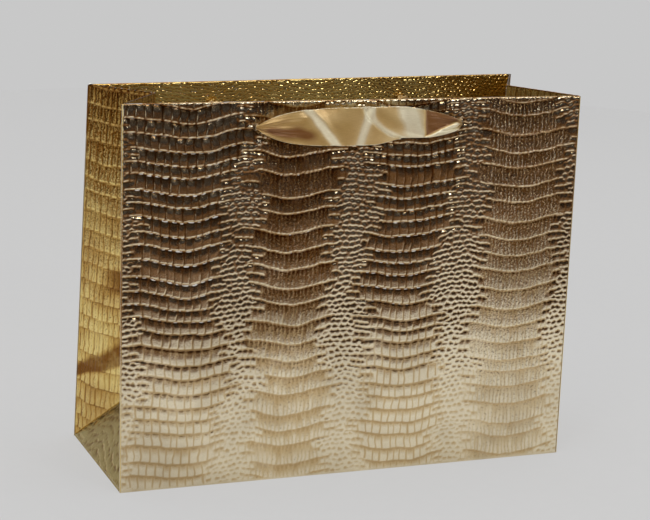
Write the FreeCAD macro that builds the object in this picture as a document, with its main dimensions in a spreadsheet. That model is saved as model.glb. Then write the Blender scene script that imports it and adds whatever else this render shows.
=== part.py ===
import FreeCAD, Part
import os
import Sketcher

# Landscape gift bag folded from one sheet of embossed foil paper.
# Frame: +Z up, +X along the wide panels, the front panel faces -Y.
# Origin: middle of the base, on the face that the bag stands on.

doc = FreeCAD.newDocument("gift_bag")
sheet = doc.addObject("Spreadsheet::Sheet", "Sizes")

sizes = [
    # the three overall sizes, measured on the outside of the paper
    ("panelWidth", 320.0),
    ("panelHeight", 256.0),
    ("bagDepth", 125.0),
    # stock
    ("paperThickness", 0.4),
    ("stripThickness", 1.0),
    ("baseBoardThickness", 1.6),
    ("ribbonThickness", 0.5),
    # how far each end of a panel's rim stands in from its bottom crease
    ("frontLeanLeft", 5.5),
    ("frontLeanRight", -2.0),
    ("backLeanLeft", 32.0),
    ("backLeanRight", 18.0),
    # how far the middle crease of each side stands in at the rim
    ("tuckLeft", 33.5),
    ("tuckRight", 28.5),
    # tilt of the triangles that the base folds leave at each end
    ("triangleTilt", 32.0),
    # turned-in top and the strips inside it
    ("hemDepth", 42.0),
    ("hemInset", 4.0),
    ("stripInset", 5.0),
    ("stripCover", 3.5),
    # glued base
    ("flapOverlap", 9.0),
    ("endFlapTip", 8.0),
    ("baseBoardInset", 1.0),
    ("seamWidth", 18.0),
    # handles
    ("holeSpacing", 143.0),
    ("holeDrop", 16.5),
    ("holeDiameter", 5.0),
    ("ribbonWidth", 25.0),
    ("bowClearance", 3.5),
    ("neckClearance", 0.6),
    ("neckReach", 0.8),
    ("knotDiameter", 9.0),
    ("tailLength", 17.0),
    ("tailWidth", 6.0),
    # clearances: between glued layers, at a crease, and between the side paper's two faces along X
    ("glueGap", 0.1),
    ("creaseGap", 0.3),
    ("slantFactor", 1.25),
]
for row, (alias, value) in enumerate(sizes, start=1):
    sheet.set(f"A{row}", alias)
    sheet.set(f"B{row}", str(value))
    sheet.setAlias(f"B{row}", alias)
doc.recompute()

# ---- expressions that several pieces share -------------------------------------------

rim = "Sizes.panelHeight"
paper = "Sizes.paperThickness"
halfWidth = "(Sizes.panelWidth / 2)"
halfDepth = "(Sizes.bagDepth / 2)"
creaseLift = "Sizes.creaseGap"

# depth below the outer face at which each layer of the rim starts, from the outside in
layerStep = "(Sizes.paperThickness + Sizes.glueGap)"
stripStart = layerStep
stripEnd = f"({stripStart} + Sizes.stripThickness)"
hemStart = f"({stripEnd} + Sizes.glueGap)"
stackDepth = f"({hemStart} + Sizes.paperThickness)"
hemBottom = "(Sizes.panelHeight - Sizes.hemDepth)"
stripBottom = f"({hemBottom} + Sizes.stripCover)"
stripTop = f"({rim} - {layerStep})"

holeHeight = "(Sizes.panelHeight - Sizes.holeDrop)"
leanName = {-1: "frontLean", 1: "backLean"}
bodyName = {-1: "front", 1: "back"}
endName = {-1: "left", 1: "right"}


def wallY(side, x, z, depthIn="0"):
    """Y on the front (-1) or back (1) panel, depthIn below its outer face."""
    lean = leanName[side]
    leanHere = (f"(Sizes.{lean}Left + (Sizes.{lean}Right - Sizes.{lean}Left)"
                f" * (({x}) / Sizes.panelWidth + 0.5))")
    return f"({side} * ({halfDepth} - {leanHere} * ({z}) / {rim} - ({depthIn})))"


def outline(body, plane, offset, points, name):
    """Closed sketch on one of the body's own planes, each corner bound to the sheet."""
    sketch = body.newObject("Sketcher::SketchObject", name)
    origin = [f for f in body.Origin.OriginFeatures if f.Role == plane][0]
    sketch.AttachmentSupport = [(origin, "")]
    sketch.MapMode = "FlatFace"
    sketch.setExpression("AttachmentOffset.Base.z", offset)
    count = len(points)
    rough = [FreeCAD.Vector(10 * (i in (1, 2)), 10 * (i > 1), 0) for i in range(count)]
    for i in range(count):
        sketch.addGeometry(Part.LineSegment(rough[i] + FreeCAD.Vector(i, 0, 0),
                                            rough[(i + 1) % count] + FreeCAD.Vector(0, i, 0)))
    for i in range(count):
        sketch.addConstraint(Sketcher.Constraint("Coincident", i, 2, (i + 1) % count, 1))
    for i, (across, along) in enumerate(points):
        for axis, letter, expression in (("DistanceX", "x", across), ("DistanceY", "y", along)):
            index = sketch.addConstraint(Sketcher.Constraint(axis, -1, 1, i, 1, 10.0 + i))
            sketch.renameConstraint(index, f"{letter}{i}")
            sketch.setExpression(f"Constraints.{letter}{i}", expression)
    return sketch


def lofted(label, plane, stations):
    """One straight-sided solid through outlines at several offsets of one plane."""
    body = doc.addObject("PartDesign::Body", label)
    body.Label = label
    sketches = [outline(body, plane, offset, points, f"{label}_outline_{i}")
                for i, (offset, points) in enumerate(stations)]
    loft = body.newObject("PartDesign::AdditiveLoft", f"{label}_loft")
    loft.Profile = sketches[0]
    loft.Sections = sketches[1:]
    loft.Ruled = True
    for sketch in sketches:
        sketch.Visibility = False
    return body


def wallLayer(label, side, reach, corners):
    """Layer of a wide panel: corners are (depth below the outer face, height)."""
    stations = []
    for x in (f"(-{reach})", f"({reach})"):
        stations.append((x, [(wallY(side, x, z, depthIn), z) for depthIn, z in corners]))
    return lofted(label, "YZ_Plane", stations)


def punch(body):
    """The two handle holes, straight through along Y."""
    name = body.Label
    sketch = body.newObject("Sketcher::SketchObject", f"{name}_hole_outline")
    origin = [f for f in body.Origin.OriginFeatures if f.Role == "XZ_Plane"][0]
    sketch.AttachmentSupport = [(origin, "")]
    sketch.MapMode = "FlatFace"
    for i, end in enumerate((-1, 1)):
        sketch.addGeometry(Part.Circle(FreeCAD.Vector(end * 50, 200, 0), FreeCAD.Vector(0, 0, 1), 2))
        for kind, letter, expression in (
                ("DistanceX", "x", f"{end} * Sizes.holeSpacing / 2"),
                ("DistanceY", "y", holeHeight)):
            index = sketch.addConstraint(Sketcher.Constraint(kind, -1, 1, i, 3, 50.0))
            sketch.renameConstraint(index, f"{letter}{i}")
            sketch.setExpression(f"Constraints.{letter}{i}", expression)
        index = sketch.addConstraint(Sketcher.Constraint("Diameter", i, 4.0))
        sketch.renameConstraint(index, f"d{i}")
        sketch.setExpression(f"Constraints.d{i}", "Sizes.holeDiameter")
    doc.recompute()
    before = body.Shape.Volume
    pocket = body.newObject("PartDesign::Pocket", f"{name}_holes")
    pocket.Profile = sketch
    pocket.Type = "ThroughAll"
    pocket.Midplane = True
    doc.recompute()
    if body.Shape.Volume >= before:
        raise RuntimeError(f"the holes miss {name}")


# ---- the two wide panels with what is glued to them ---------------------------------

for side in (-1, 1):
    name = bodyName[side]
    panel = wallLayer(f"{name}_panel", side, halfWidth, [
        ("0", creaseLift), ("0", rim), (paper, rim), (paper, creaseLift)])
    strip = wallLayer(f"{name}_reinforcement_strip", side, f"({halfWidth} - Sizes.stripInset)", [
        (stripStart, stripBottom), (stripStart, stripTop), (stripEnd, stripTop), (stripEnd, stripBottom)])
    hem = wallLayer(f"{name}_top_hem", side, f"({halfWidth} - Sizes.hemInset)", [
        (stripStart, f"({rim} - {paper})"), (stripStart, rim), (stackDepth, rim),
        (stackDepth, hemBottom), (hemStart, hemBottom), (hemStart, f"({rim} - {paper})")])
    for body in (panel, strip, hem):
        punch(body)

# ---- the two gusseted ends -------------------------------------------------------------

# apex of each base triangle, which stands as far from the base edge as the bag is half deep
apexIn = f"({halfDepth} * sin(Sizes.triangleTilt))"
apexHeight = f"({halfDepth} * cos(Sizes.triangleTilt))"
sideSkin = f"({paper} * Sizes.slantFactor)"
tuckName = {-1: "tuckLeft", 1: "tuckRight"}


def cornerY(side, end, z, depthIn="0"):
    """Y of a vertical corner crease."""
    return wallY(side, f"({end} * {halfWidth})", z, depthIn)


def creasePoint(end, z):
    """Distance in from the end and Y of the middle crease, above the triangle's apex."""
    share = f"((({z}) - {apexHeight}) / ({rim} - {apexHeight}))"
    tuck = f"Sizes.{tuckName[end]}"
    rimY = f"(({cornerY(-1, end, rim)} + {cornerY(1, end, rim)}) / 2)"
    return f"({apexIn} + ({tuck} - {apexIn}) * {share})", f"({rimY} * {share})"


def sideStrip(end, side, z, inner, skin, share=("0", "1")):
    """Level section of one side facet between two shares of the way from its corner to its crease."""
    innerIn, innerY = inner
    startY = cornerY(side, end, z, cornerIn)
    corners = []
    for part, depth in ((share[0], skin), (share[1], skin),
                        (share[1], f"({skin} + {sideSkin})"), (share[0], f"({skin} + {sideSkin})")):
        corners.append((f"({end} * ({halfWidth} - {innerIn} * {part} - {depth}))",
                        f"({startY} + ({innerY} - {startY}) * {part})"))
    return z, corners


def facetInner(end, side, z):
    """Inner end of a facet's section: the middle crease, or the diagonal one below the apex."""
    innerIn, innerY = creasePoint(end, z)
    return innerIn, f"({innerY} + {side} * Sizes.glueGap)"


lowSection = "(5 * Sizes.creaseGap)"
lowShare = f"({lowSection} / {apexHeight})"
cornerIn = f"({paper} + Sizes.creaseGap)"
hemSkin = f"({sideSkin} + Sizes.glueGap)"
hemStartShare = f"(2 * {stackDepth} / {halfDepth})"
sideName = {-1: "front", 1: "rear"}
for end in (-1, 1):
    for side in (-1, 1):
        diagonal = (f"({apexIn} * {lowShare})",
                    f"({side} * ({halfDepth} * (1 - {lowShare}) + Sizes.glueGap))")
        stations = [sideStrip(end, side, lowSection, diagonal, "0")]
        stations += [sideStrip(end, side, z, facetInner(end, side, z), "0") for z in (apexHeight, rim)]
        lofted(f"{endName[end]}_gusset_{sideName[side]}_half", "XY_Plane", stations)

        # the turned-in rim, on the inside of the same facet
        stations = [sideStrip(end, side, z, facetInner(end, side, z), hemSkin, (hemStartShare, "1"))
                    for z in (hemBottom, rim)]
        lofted(f"{endName[end]}_gusset_{sideName[side]}_hem", "XY_Plane", stations)

    # the triangle that the base folds leave, leaning in from the bottom crease
    stations = []
    for z in (creaseLift, f"({apexHeight} - 2 * Sizes.creaseGap)"):
        share = f"(({z}) / {apexHeight})"
        reachY = f"({halfDepth} * (1 - {share}) - {cornerIn} * (1 - {share}) - Sizes.glueGap)"
        outer = f"({end} * ({halfWidth} - {apexIn} * {share}))"
        inner = f"({end} * ({halfWidth} - {apexIn} * {share} - {sideSkin}))"
        stations.append((z, [(outer, f"(-{reachY})"), (outer, reachY),
                             (inner, reachY), (inner, f"(-{reachY})")]))
    lofted(f"{endName[end]}_base_triangle", "XY_Plane", stations)

# the glue flap that closes the sheet into a tube, inside the rear half of the right gusset
seamShare = (f"(Sizes.creaseGap / {halfDepth})", f"(Sizes.seamWidth / {halfDepth})")
stations = [sideStrip(1, 1, z, facetInner(1, 1, z), hemSkin, seamShare)
            for z in (apexHeight, f"({hemBottom} - Sizes.creaseGap)")]
lofted("side_seam_flap", "XY_Plane", stations)

# ---- the glued base ---------------------------------------------------------------------


def flatSheet(label, bottom, thickness, corners):
    """Flat piece parallel to the floor."""
    body = doc.addObject("PartDesign::Body", label)
    body.Label = label
    sketch = outline(body, "XY_Plane", bottom, corners, f"{label}_outline")
    pad = body.newObject("PartDesign::Pad", f"{label}_pad")
    pad.Profile = sketch
    pad.setExpression("Length", thickness)
    sketch.Visibility = False
    return body


def triangleClear(z):
    """How far in from the end a flat piece stays clear of the leaning triangle, up to height z."""
    return f"({apexIn} * ({z}) / {apexHeight} + {sideSkin} + Sizes.creaseGap)"


# the layers of the base lie on each other from the floor up, clear of the walls as they fold
boardBottom = f"(3 * {layerStep})"
boardTop = f"({boardBottom} + Sizes.baseBoardThickness)"
wallClear = f"({paper} + 3 * Sizes.creaseGap)"
flapHalfWidth = f"({halfWidth} - {triangleClear(boardBottom)})"
flapHalfDepth = f"({halfDepth} - {wallClear})"
for level, side in enumerate((1, -1)):
    # long flaps: the back one is outermost, and each passes the middle by half the overlap
    innerY = f"(-({side}) * Sizes.flapOverlap / 2)"
    shortX = f"({flapHalfWidth} - {flapHalfDepth} - Sizes.flapOverlap / 2)"
    edgeY = f"({side} * {flapHalfDepth})"
    flatSheet(f"base_{bodyName[side]}_flap", f"({level} * {layerStep})", paper, [
        (f"(-{flapHalfWidth})", edgeY), (flapHalfWidth, edgeY), (shortX, innerY), (f"(-{shortX})", innerY)])

for end in (-1, 1):
    # end flaps, on the inside of the long ones, with their corners folded at 45 degrees
    outerX = f"({end} * {flapHalfWidth})"
    innerX = f"({end} * ({flapHalfWidth} - {flapHalfDepth} + Sizes.endFlapTip))"
    flatSheet(f"base_{endName[end]}_flap", f"(2 * {layerStep})", paper, [
        (outerX, f"(-{flapHalfDepth})"), (outerX, flapHalfDepth),
        (innerX, "Sizes.endFlapTip"), (innerX, "(-Sizes.endFlapTip)")])

boardX = f"({halfWidth} - {triangleClear(boardTop)} - Sizes.baseBoardInset)"
boardY = f"({flapHalfDepth} - Sizes.baseBoardInset)"
flatSheet("base_board", boardBottom, "Sizes.baseBoardThickness", [
    (f"(-{boardX})", f"(-{boardY})"), (boardX, f"(-{boardY})"),
    (boardX, boardY), (f"(-{boardX})", boardY)])

# ---- ribbon handles: band outside, knots inside ----------------------------------------

# the band stands off the wall far enough to swing halfway up without touching it
ribbonBow = "(Sizes.ribbonWidth / 2 + Sizes.bowClearance)"

# each station: share of the way from the middle to a hole, share of the bow, share of the width
bandStations = [(-0.985, 0.17, 0.12), (-0.92, 0.40, 0.36), (-0.76, 0.70, 0.74), (-0.4, 0.93, 1.0),
                (0.0, 1.0, 1.0),
                (0.4, 0.93, 1.0), (0.76, 0.70, 0.74), (0.92, 0.40, 0.36), (0.985, 0.17, 0.12)]
for side in (-1, 1):
    name = bodyName[side]
    stations = []
    for along, bow, width in bandStations:
        x = f"({along} * Sizes.holeSpacing / 2)"
        face = wallY(side, x, holeHeight)
        near = f"({face} + {side} * ({ribbonBow} * {bow} - Sizes.ribbonThickness / 2))"
        far = f"({face} + {side} * ({ribbonBow} * {bow} + Sizes.ribbonThickness / 2))"
        low = f"({holeHeight} - Sizes.ribbonWidth / 2 * {width})"
        high = f"({holeHeight} + Sizes.ribbonWidth / 2 * {width})"
        stations.append((x, [(near, low), (near, high), (far, high), (far, low)]))
    lofted(f"{name}_ribbon_handle", "YZ_Plane", stations)

    for end in (-1, 1):
        label = f"{name}_{endName[end]}_knot"
        x = f"({end} * Sizes.holeSpacing / 2)"
        face = wallY(side, x, holeHeight)
        knot = doc.addObject("Part::Sphere", f"{label}_ball")
        knot.setExpression("Radius", "Sizes.knotDiameter / 2")
        knotIn = f"({stackDepth} + Sizes.glueGap + Sizes.knotDiameter / 2)"
        knot.setExpression("Placement.Base.x", x)
        knot.setExpression("Placement.Base.y", f"{face} - {side} * {knotIn}")
        knot.setExpression("Placement.Base.z", holeHeight)

        neck = doc.addObject("Part::Cylinder", f"{label}_neck")
        neck.setExpression("Radius", "Sizes.holeDiameter / 2 - Sizes.neckClearance")
        neck.setExpression("Height", f"{knotIn} + Sizes.neckReach")
        neck.Placement.Rotation = FreeCAD.Rotation(FreeCAD.Vector(1, 0, 0), -90 * side)
        neck.setExpression("Placement.Base.x", x)
        neck.setExpression("Placement.Base.y", f"{face} - {side} * {knotIn}")
        neck.setExpression("Placement.Base.z", holeHeight)

        tail = doc.addObject("Part::Box", f"{label}_tail")
        tail.setExpression("Length", "Sizes.tailWidth")
        tail.setExpression("Width", "2 * Sizes.ribbonThickness")
        tail.setExpression("Height", "Sizes.tailLength")
        tail.setExpression("Placement.Base.x", f"{x} - Sizes.tailWidth / 2")
        tail.setExpression("Placement.Base.y", f"{face} - {side} * {knotIn} - Sizes.ribbonThickness")
        tail.setExpression("Placement.Base.z", f"{holeHeight} - Sizes.tailLength")

        tied = doc.addObject("Part::MultiFuse", label)
        tied.Shapes = [knot, neck, tail]
        tied.Label = label

# ---- check, then write one file for each piece ------------------------------------------

doc.recompute()
for item in doc.Objects:
    if "Invalid" in item.State or "Error" in item.State:
        raise RuntimeError(f"{item.Label} failed: {item.State}")

pieces = [item for item in doc.Objects
          if item.TypeId in ("PartDesign::Body", "Part::MultiFuse")]
os.makedirs("parts", exist_ok=True)
for piece in pieces:
    if piece.Shape.isNull() or not piece.Shape.isValid():
        raise RuntimeError(f"{piece.Label} has no valid shape")
for piece in pieces:
    piece.Shape.exportStep(f"parts/{piece.Label}.step")
    box = piece.Shape.BoundBox
    print(f"{piece.Label:32s} {piece.Shape.Volume / 1000:8.2f} cm3  solids {len(piece.Shape.Solids)}  "
          f"x {box.XMin:7.1f} {box.XMax:7.1f}  y {box.YMin:6.1f} {box.YMax:6.1f}  "
          f"z {box.ZMin:6.1f} {box.ZMax:6.1f}")
print(len(pieces), "pieces")
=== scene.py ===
import math

import bmesh
import bpy
import numpy as np
from mathutils import Matrix, Vector


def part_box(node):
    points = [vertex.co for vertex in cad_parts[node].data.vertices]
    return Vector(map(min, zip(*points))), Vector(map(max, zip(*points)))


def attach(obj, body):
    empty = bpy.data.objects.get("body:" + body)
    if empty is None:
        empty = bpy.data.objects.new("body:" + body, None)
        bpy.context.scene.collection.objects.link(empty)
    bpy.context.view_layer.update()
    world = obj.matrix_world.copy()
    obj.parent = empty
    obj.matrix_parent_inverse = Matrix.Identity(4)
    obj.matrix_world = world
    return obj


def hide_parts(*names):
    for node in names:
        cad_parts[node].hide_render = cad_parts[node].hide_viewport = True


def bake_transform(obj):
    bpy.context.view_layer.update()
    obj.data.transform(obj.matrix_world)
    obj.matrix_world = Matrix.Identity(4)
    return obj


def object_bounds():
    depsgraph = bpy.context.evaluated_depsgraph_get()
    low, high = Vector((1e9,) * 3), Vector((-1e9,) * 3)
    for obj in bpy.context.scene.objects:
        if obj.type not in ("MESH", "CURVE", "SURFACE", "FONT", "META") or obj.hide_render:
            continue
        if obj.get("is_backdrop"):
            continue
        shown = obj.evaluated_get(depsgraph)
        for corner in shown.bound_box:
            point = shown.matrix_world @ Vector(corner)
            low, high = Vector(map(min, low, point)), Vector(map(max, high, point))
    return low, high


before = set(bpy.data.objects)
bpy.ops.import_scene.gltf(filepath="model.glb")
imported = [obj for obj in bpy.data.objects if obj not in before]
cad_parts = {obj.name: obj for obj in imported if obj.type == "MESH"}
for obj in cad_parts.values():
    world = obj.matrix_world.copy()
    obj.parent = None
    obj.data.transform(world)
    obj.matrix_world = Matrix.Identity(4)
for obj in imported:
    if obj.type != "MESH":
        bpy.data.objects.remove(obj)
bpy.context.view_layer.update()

mm = 0.001
sideName = {-1: "front", 1: "back"}  # side of the bag along y
halfName = {-1: "front", 1: "rear"}
endName = {-1: "left", 1: "right"}  # end of the bag along x
paperThick = 0.4 * mm


# small maths shared by every piece


def smooth(low, high, x):
    t = np.clip((x - low) / (high - low), 0.0, 1.0)
    return t * t * (3.0 - 2.0 * t)


def hashed(a, b, seed):
    value = np.sin(a * 127.1 + b * 311.7 + seed * 74.7) * 43758.5453
    return value - np.floor(value)


# soft random field from -1 to 1 that changes about once per unit
def drift(x, y, seed):
    x = np.asarray(x, float)
    y = np.asarray(y, float) + np.zeros_like(x)
    x0 = np.floor(x)
    y0 = np.floor(y)
    fx = smooth(0.0, 1.0, x - x0)
    fy = smooth(0.0, 1.0, y - y0)
    near = hashed(x0, y0, seed) * (1 - fx) + hashed(x0 + 1, y0, seed) * fx
    far = hashed(x0, y0 + 1, seed) * (1 - fx) + hashed(x0 + 1, y0 + 1, seed) * fx
    return (near * (1 - fy) + far * fy) * 2 - 1


def unit(v):
    return v / np.maximum(np.linalg.norm(v, axis=-1, keepdims=True), 1e-12)


def nodePoints(node):
    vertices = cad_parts[node].data.vertices
    points = np.zeros(len(vertices) * 3)
    vertices.foreach_get("co", points)
    return points.reshape(-1, 3)


# the corner of a CAD node that lies farthest that way
def farthest(node, direction):
    points = nodePoints(node)
    return points[np.argmax(points @ np.array(direction, float))]


# meshes from grids


def gridNormals(points):
    along = np.gradient(points, axis=0)
    across = np.gradient(points, axis=1)
    return unit(np.cross(across, along))


def gridFaces(rows, columns):
    row, column = np.meshgrid(np.arange(rows - 1), np.arange(columns - 1), indexing="ij")
    low = row * columns + column
    return np.stack([low, low + 1, low + columns + 1, low + columns], axis=-1).reshape(-1, 4)


# start and end vertices of every edge that only one face uses
def openEdges(faces, count):
    starts = faces.ravel()
    ends = np.roll(faces, -1, axis=1).ravel()
    alone = ~np.isin(starts.astype(np.int64) * count + ends, ends.astype(np.int64) * count + starts)
    return starts[alone], ends[alone]


def makeMesh(name, points, faces, uv, paintedShadeAndSheen, strokes, slots, materials):
    mesh = bpy.data.meshes.new(name)
    mesh.from_pydata(points.tolist(), [], faces.tolist())
    layer = mesh.uv_layers.new(name="UVMap")
    corners = np.zeros(len(mesh.loops), np.int32)
    mesh.loops.foreach_get("vertex_index", corners)
    layer.data.foreach_set("uv", uv[corners].astype(np.float32).ravel())
    for label, values in (("paintedShadeAndSheen", paintedShadeAndSheen), ("strokes", strokes)):
        attribute = mesh.attributes.new(label, "FLOAT", "POINT")
        attribute.data.foreach_set("value", values.astype(np.float32))
    for material in materials:
        mesh.materials.append(material)
    mesh.polygons.foreach_set("material_index", slots.astype(np.int32))
    mesh.polygons.foreach_set("use_smooth", np.ones(len(faces), bool))
    mesh.update()
    piece = bpy.data.objects.new(name, mesh)
    bpy.context.scene.collection.objects.link(piece)
    return piece


# collects grids and their edge strips into one mesh
class Patchwork:
    def __init__(self):
        self.points = []
        self.faces = []
        self.uv = []
        self.paintedShadeAndSheen = []
        self.strokes = []
        self.slots = []
        self.count = 0

    def add(self, points, faces, uv, paintedShadeAndSheen, strokes, slot):
        self.points.append(points)
        self.faces.append(faces + self.count)
        self.uv.append(uv)
        self.paintedShadeAndSheen.append(paintedShadeAndSheen)
        self.strokes.append(strokes)
        self.slots.append(np.full(len(faces), slot))
        self.count += len(points)

    def grid(self, points, uv, paintedShadeAndSheen, strokes, slot, thick=0.0, edgeSlot=0, normals=None, kept=None):
        rows, columns = points.shape[:2]
        faces = gridFaces(rows, columns)
        if kept is not None:
            faces = faces[kept.ravel()]
        flat = points.reshape(-1, 3)
        flatUv = uv.reshape(-1, 2)
        self.add(flat, faces, flatUv, paintedShadeAndSheen.ravel(), strokes.ravel(), slot)
        if thick > 0:
            normals = normals.reshape(-1, 3)
            # the edge strip has vertices of its own, so it keeps a sharp corner
            starts, ends = openEdges(faces, len(flat))
            size = len(starts)
            top = np.concatenate([flat[starts], flat[ends]])
            low = top - np.concatenate([normals[starts], normals[ends]]) * thick
            order = np.arange(size)
            strip = np.stack([order + size, order, order + 2 * size, order + 3 * size], axis=-1)
            edgeUv = np.concatenate([flatUv[starts], flatUv[ends]] * 2)
            ones = np.ones(4 * size)
            self.add(np.concatenate([top, low]), strip, edgeUv, ones, ones * 0, edgeSlot)

    def build(self, name, materials, welded=False, seam=None):
        columns = (self.points, self.faces, self.uv, self.paintedShadeAndSheen, self.strokes, self.slots)
        piece = makeMesh(name, *(np.concatenate(column) for column in columns), materials)
        if welded:
            joined = bmesh.new()
            joined.from_mesh(piece.data)
            bmesh.ops.remove_doubles(joined, verts=joined.verts, dist=1e-6)
            joined.to_mesh(piece.data)
            joined.free()
        if seam is not None:
            shared = np.zeros((self.count, 3), np.float32)
            shared[seam[0]] = seam[1]
            piece.data.normals_split_custom_set_from_vertices(shared.tolist())
        return piece


# relief of the embossed sheet: u runs across and d down from the rim, both in mm


# how far the rows hang at each place across: they sag along a belt's middle and rise between belts
def rowSag(u, layout):
    phase = np.interp(u, layout["turns"], math.pi * (np.arange(len(layout["turns"])) - 1))
    return layout["sag"] * np.cos(phase)


plateLook = {"round": 3.6, "lipWide": 0.8, "lipDeep": 0.42, "grooveWide": 1.0, "lowest": 0.93, "uneven": 0.2}


# rows of plates in one belt: each starts low under the row above, levels out, and ends in a sharp lip
def beltPlates(u, d, belt, seed):
    wobble = 1.1 * drift(u / 15, d / 30, seed) + 0.4 * drift(u / 4.5, d / 9, seed + 1)
    row = (d + wobble) / belt["pitch"]
    split = belt.get("split", 1)
    pitch = belt["pitch"] / split
    row = (row + 0.25 * drift(row * 0.8, 0 * row, seed + 2)) * split
    rowIndex = np.floor(row)
    down = row - rowIndex
    column = (u + 0.7 * drift(d / 5, u / 9, seed + 6)) / belt["cell"]
    column = column + 5 * hashed(rowIndex, 0 * row, seed + 3)
    column = column + 0.24 * drift(column * 0.9, rowIndex * 3.7, seed + 4)
    columnIndex = np.floor(column)
    over = column - columnIndex
    middle = 1 - np.abs(2 * over - 1) ** plateLook["round"]
    below = down * pitch  # mm under the lip of the row above
    reach = 0.75 + 0.5 * hashed(columnIndex, rowIndex, seed + 8)
    keep = belt["keep"]
    scoop = 1 - (1 - keep) * smooth(0.2, 1.7, below) - keep * smooth(0.6, belt["scoop"] * reach, below)
    scoop = scoop * (belt["join"] + (1 - belt["join"]) * middle)
    lip = smooth(pitch - plateLook["lipWide"], pitch, below)
    wall = plateLook["grooveWide"] / belt["cell"]
    walls = 1 - smooth(0.0, wall, over) * smooth(0.0, wall, 1 - over)
    tall = plateLook["lowest"] + plateLook["uneven"] * hashed(rowIndex, columnIndex, seed + 5)
    plates = tall - scoop * belt["depth"] - lip * plateLook["lipDeep"]
    plates = plates - walls * belt["groove"] * (1 - scoop) * (1 - lip)
    return plates, np.maximum(lip, 0.5 * walls * (1 - scoop))


# small rounded scales in rows
def pebbles(u, d, wide, high, seed):
    x = u / wide + 0.35 * drift(u / 13, d / 13, seed)
    y = d / high + 0.35 * drift(u / 11, d / 15, seed + 1)
    x0 = np.floor(x)
    y0 = np.floor(y)
    first = np.full(x.shape, 9.0)
    second = np.full(x.shape, 9.0)
    lean = np.zeros(x.shape)
    aside = np.zeros(x.shape)
    for stepY in (-1, 0, 1):
        for stepX in (-2, -1, 0, 1, 2):
            cellX = x0 + stepX
            cellY = y0 + stepY
            atX = cellX + 0.5 + 0.5 * (cellY % 2) + 0.5 * (hashed(cellX, cellY, seed + 2) - 0.5)
            atY = cellY + 0.5 + 0.5 * (hashed(cellX, cellY, seed + 3) - 0.5)
            away = np.hypot(x - atX, y - atY)
            lean = np.where(away < first, y - atY, lean)
            aside = np.where(away < first, np.abs(x - atX), aside)
            second = np.minimum(second, np.maximum(first, away))
            first = np.minimum(first, away)
    dip = (1 - smooth(-0.6, 0.15, lean)) * (1 - smooth(0.22, 0.55, aside))
    return 1.0 - 0.95 * dip - 0.28 * (1 - smooth(0.0, 0.22, second - first)) * smooth(-0.1, 0.3, lean)


# rows split in two, which stand beside a belt before it turns into pebbles
besideLook = {"split": 2, "cell": 3.9, "scoop": 3.4, "keep": 0.6, "depth": 1.2, "join": 0.0, "groove": 0.35}


# belts with pebbles between them; gives the height, where the fine upright strokes are, and the lips that get
# painted shade
def sheetRelief(u, d, layout, seed):
    height = np.zeros_like(u)
    cover = np.zeros_like(u)
    strokes = np.zeros_like(u)
    edges = np.zeros_like(u)
    hung = d - rowSag(u, layout)
    for index, belt in enumerate(layout["belts"]):
        wander = 7.0 * drift(d / 26, 0 * u, seed + 20 + index) + 4.0 * drift(u / 8, d / 8, seed + 30)
        ragged = 9.0 * (hashed(np.floor(hung / belt["pitch"]), np.sign(u - belt["centre"]), seed + 33) - 0.5)
        half = belt["half"] + belt.get("flare", 0.0) * (1 - smooth(10, 70, d))
        past = np.abs(u - belt["centre"] - wander) - half + ragged
        mask = 1 - smooth(-1.5, 1.5, past)
        plates, lips = beltPlates(u, hung, belt, seed + 7 * index)
        height += mask * plates
        edges += mask * lips
        strokes += mask * belt["strokes"]
        beside = (1 - smooth(-1.5, 1.5, past - layout["beside"] + 0.4 * ragged)) - mask
        beside = np.clip(beside, 0, 1) * (1 - np.clip(cover, 0, 1))
        plates, lips = beltPlates(u, hung, {**belt, **besideLook}, seed + 7 * index)
        height += beside * plates
        edges += 0.7 * beside * lips
        cover += mask + beside
    between = pebbles(u, hung, layout["pebbleWide"], layout["pebbleHigh"], seed + 50)
    height += np.clip(1 - cover, 0, 1) * between
    return height, np.clip(strokes, 0, 1), edges


# belts by their centre and half width across; flare widens one toward the rim
wideLayout = {
    "turns": (5, 45, 84, 114, 155, 197, 238, 280, 318),
    "sag": 2.8,
    "beside": 7.0,
    "belts": [
        {"centre": 40, "half": 27, "flare": 13, "pitch": 9.5, "cell": 5.6, "scoop": 5.6, "keep": 0.62,
         "depth": 1.55, "join": 0.0, "groove": 0.65, "strokes": 0.1},
        {"centre": 114, "half": 23, "pitch": 12.2, "cell": 3.0, "scoop": 12.0, "keep": 0.8,
         "depth": 1.3, "join": 0.0, "groove": 0.3, "strokes": 0.3},
        {"centre": 197, "half": 24, "flare": 4, "pitch": 9.2, "cell": 5.2, "scoop": 5.6, "keep": 0.62,
         "depth": 1.5, "join": 0.0, "groove": 0.65, "strokes": 0.1},
        {"centre": 279, "half": 26, "pitch": 12.0, "cell": 3.0, "scoop": 11.0, "keep": 0.7,
         "depth": 0.95, "join": 0.1, "groove": 0.3, "strokes": 0.5},
    ],
    "pebbleWide": 4.3,
    "pebbleHigh": 3.5,
}
sideLayout = {
    "turns": (-10, 30, 70, 110, 150),
    "sag": 1.6,
    "beside": 0.0,
    "belts": [
        {"centre": 30, "half": 120, "pitch": 12.6, "cell": 4.8, "scoop": 12.0, "keep": 0.7,
         "depth": 0.8, "join": 0.15, "groove": 0.8, "strokes": 0.6},
    ],
    "pebbleWide": 4.6,
    "pebbleHigh": 3.9,
}
triangleLayout = {"turns": sideLayout["turns"], "sag": 4.0, "belts": [], "pebbleWide": 2.8, "pebbleHigh": 6.0}
hemLayout = {"turns": wideLayout["turns"], "sag": 2.8, "belts": [], "pebbleWide": 3.4, "pebbleHigh": 2.5}


# shader node groups that several materials share


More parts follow.
